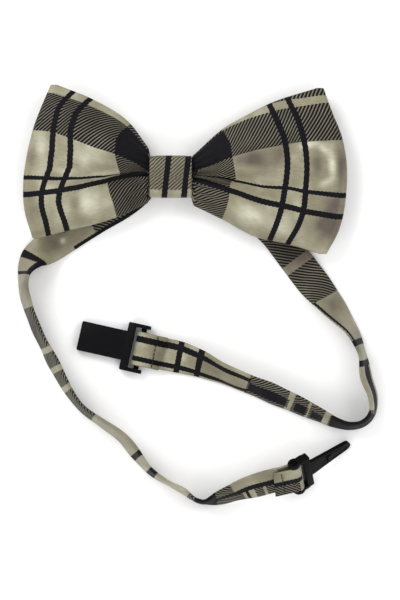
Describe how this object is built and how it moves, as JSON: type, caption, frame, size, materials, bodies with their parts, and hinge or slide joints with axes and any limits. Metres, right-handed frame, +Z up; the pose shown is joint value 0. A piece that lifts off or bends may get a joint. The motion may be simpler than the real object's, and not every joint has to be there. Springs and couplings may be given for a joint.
{
  "type": "bow tie",
  "caption": "Pre-tied satin tartan bow tie with a folded two-loop bow, a wrapped knot, and a flat neck strap that ends in a push-in clasp.",
  "frame": {"origin": "centre of the knot's back face, on the surface that the tie lies on", "axes": "+Z up, towards the bow's front; +Y towards the top of the bow; +X towards the right wing, seen from the front"},
  "size_m": [0.1337, 0.1551, 0.0159],
  "materials": {
    "tartan_satin": "woven satin tartan in champagne, grey and black, soft sheen",
    "interlining": "matte brushed interlining",
    "black_thread": "matte sewing thread",
    "black_plastic": "satin moulded plastic",
    "black_steel": "black lacquered steel"
  },
  "bodies": {
    "bow": {"knot_wrap": "tartan_satin", "knot_lining": "interlining", "bow_centre_pleats": "tartan_satin", "pinch_thread": "black_thread", "bow_loop_left": "tartan_satin", "bow_loop_right": "tartan_satin", "bow_interfacing_left": "interlining", "bow_interfacing_right": "interlining", "strap_centre": "tartan_satin", "strap_centre_lining": "interlining"},
    "left_strap": {"strap_left_upper": "tartan_satin", "strap_left_upper_lining": "interlining", "strap_left_lower": "tartan_satin", "strap_left_lower_lining": "interlining"},
    "left_strap_end": {"strap_left_end": "tartan_satin", "strap_left_end_lining": "interlining", "strap_hoop_left": "tartan_satin", "stitches_left": "black_thread"},
    "tongue": {"tongue_blade": "black_plastic", "tongue_pin": "black_steel"},
    "leaf": {"catch_leaf": "black_plastic"},
    "right_strap": {"strap_right_upper": "tartan_satin", "strap_right_upper_lining": "interlining", "strap_right_lower": "tartan_satin", "strap_right_lower_lining": "interlining"},
    "right_strap_end": {"strap_right_return": "tartan_satin", "strap_right_return_lining": "interlining", "strap_hoop_right": "tartan_satin", "stitches_right": "black_thread"},
    "socket": {"socket_housing": "black_plastic", "socket_pin": "black_steel"}
  },
  "joints": [
    {"name": "left_strap_swing", "type": "hinge", "parent": "bow", "child": "left_strap", "pos_m": [-0.0178, -0.0092, 0.001], "axis": [0, 0, -1], "range_deg": [0, 15]},
    {"name": "left_end_fold", "type": "hinge", "parent": "left_strap", "child": "left_strap_end", "pos_m": [0.0109, -0.1203, 0.001], "axis": [0, 0, -1], "range_deg": [0, 45]},
    {"name": "tongue_swivel", "type": "hinge", "parent": "left_strap_end", "child": "tongue", "pos_m": [0.0464, -0.1106, 0.0084], "axis": [0.1408, -0.6541, -0.7431], "range_deg": [0, 75]},
    {"name": "catch_leaf_flex", "type": "hinge", "parent": "tongue", "child": "leaf", "pos_m": [0.06412, -0.09985, 0.0023], "axis": [0.1408, -0.6541, -0.7431], "range_deg": [0, 6], "stiffness_Nm_per_rad": 0.02},
    {"name": "right_strap_swing", "type": "hinge", "parent": "bow", "child": "right_strap", "pos_m": [0.0175, -0.007, 0.001], "axis": [0, 0, 1], "range_deg": [0, 15]},
    {"name": "right_end_fold", "type": "hinge", "parent": "right_strap", "child": "right_strap_end", "pos_m": [0.072, -0.0906, 0.001], "axis": [0, 0, -1], "range_deg": [0, 12]},
    {"name": "socket_swivel", "type": "hinge", "parent": "right_strap_end", "child": "socket", "pos_m": [-0.0113, -0.0636, 0.00275], "axis": [0.2198, 0.9755, 0], "range_deg": [0, 70]}
  ]
}
